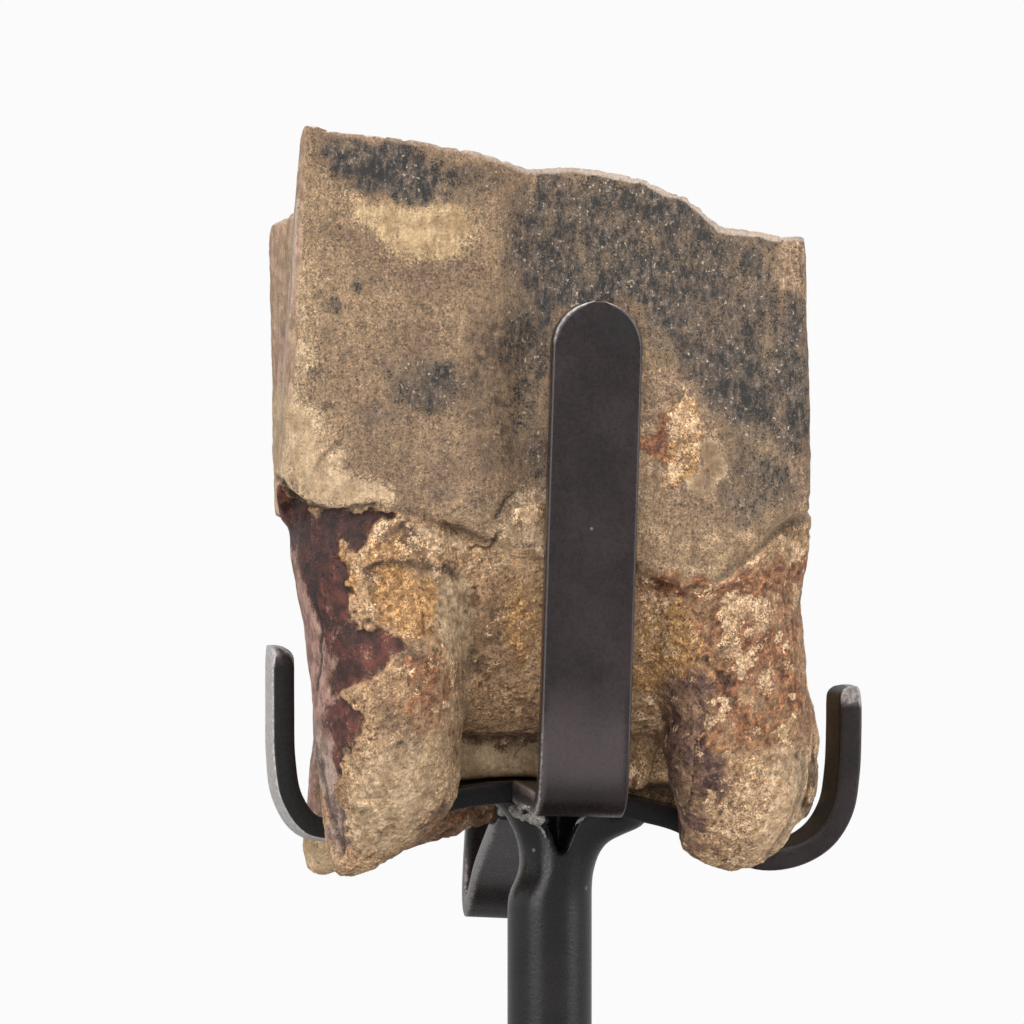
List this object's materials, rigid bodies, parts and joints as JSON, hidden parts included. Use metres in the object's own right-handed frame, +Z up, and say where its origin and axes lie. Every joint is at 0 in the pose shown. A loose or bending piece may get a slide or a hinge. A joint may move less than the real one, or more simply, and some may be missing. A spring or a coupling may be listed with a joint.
{
  "type": "fossil woolly rhino tooth on a stand",
  "caption": "Fossil woolly rhinoceros upper cheek tooth, crown up, held by a black steel cradle with front and back arms on a rod and square base",
  "frame": {"origin": "centre of the base plate's underside, on the table", "axes": "+X from the tooth's front end to its rear end, +Y from its cheek side to its tongue side, +Z up"},
  "size_m": [0.08, 0.08, 0.1325],
  "materials": {
    "fossil_tooth": "dull mineral-stained enamel over granular cream, ochre and maroon root crust",
    "black_steel": "satin black paint, worn to bare metal on the edges and the ground welds"
  },
  "bodies": {
    "root": {"tooth": "fossil_tooth", "cradle_strip": "black_steel", "front_arm": "black_steel", "back_arm": "black_steel", "post": "black_steel", "base_plate": "black_steel"}
  },
  "joints": []
}
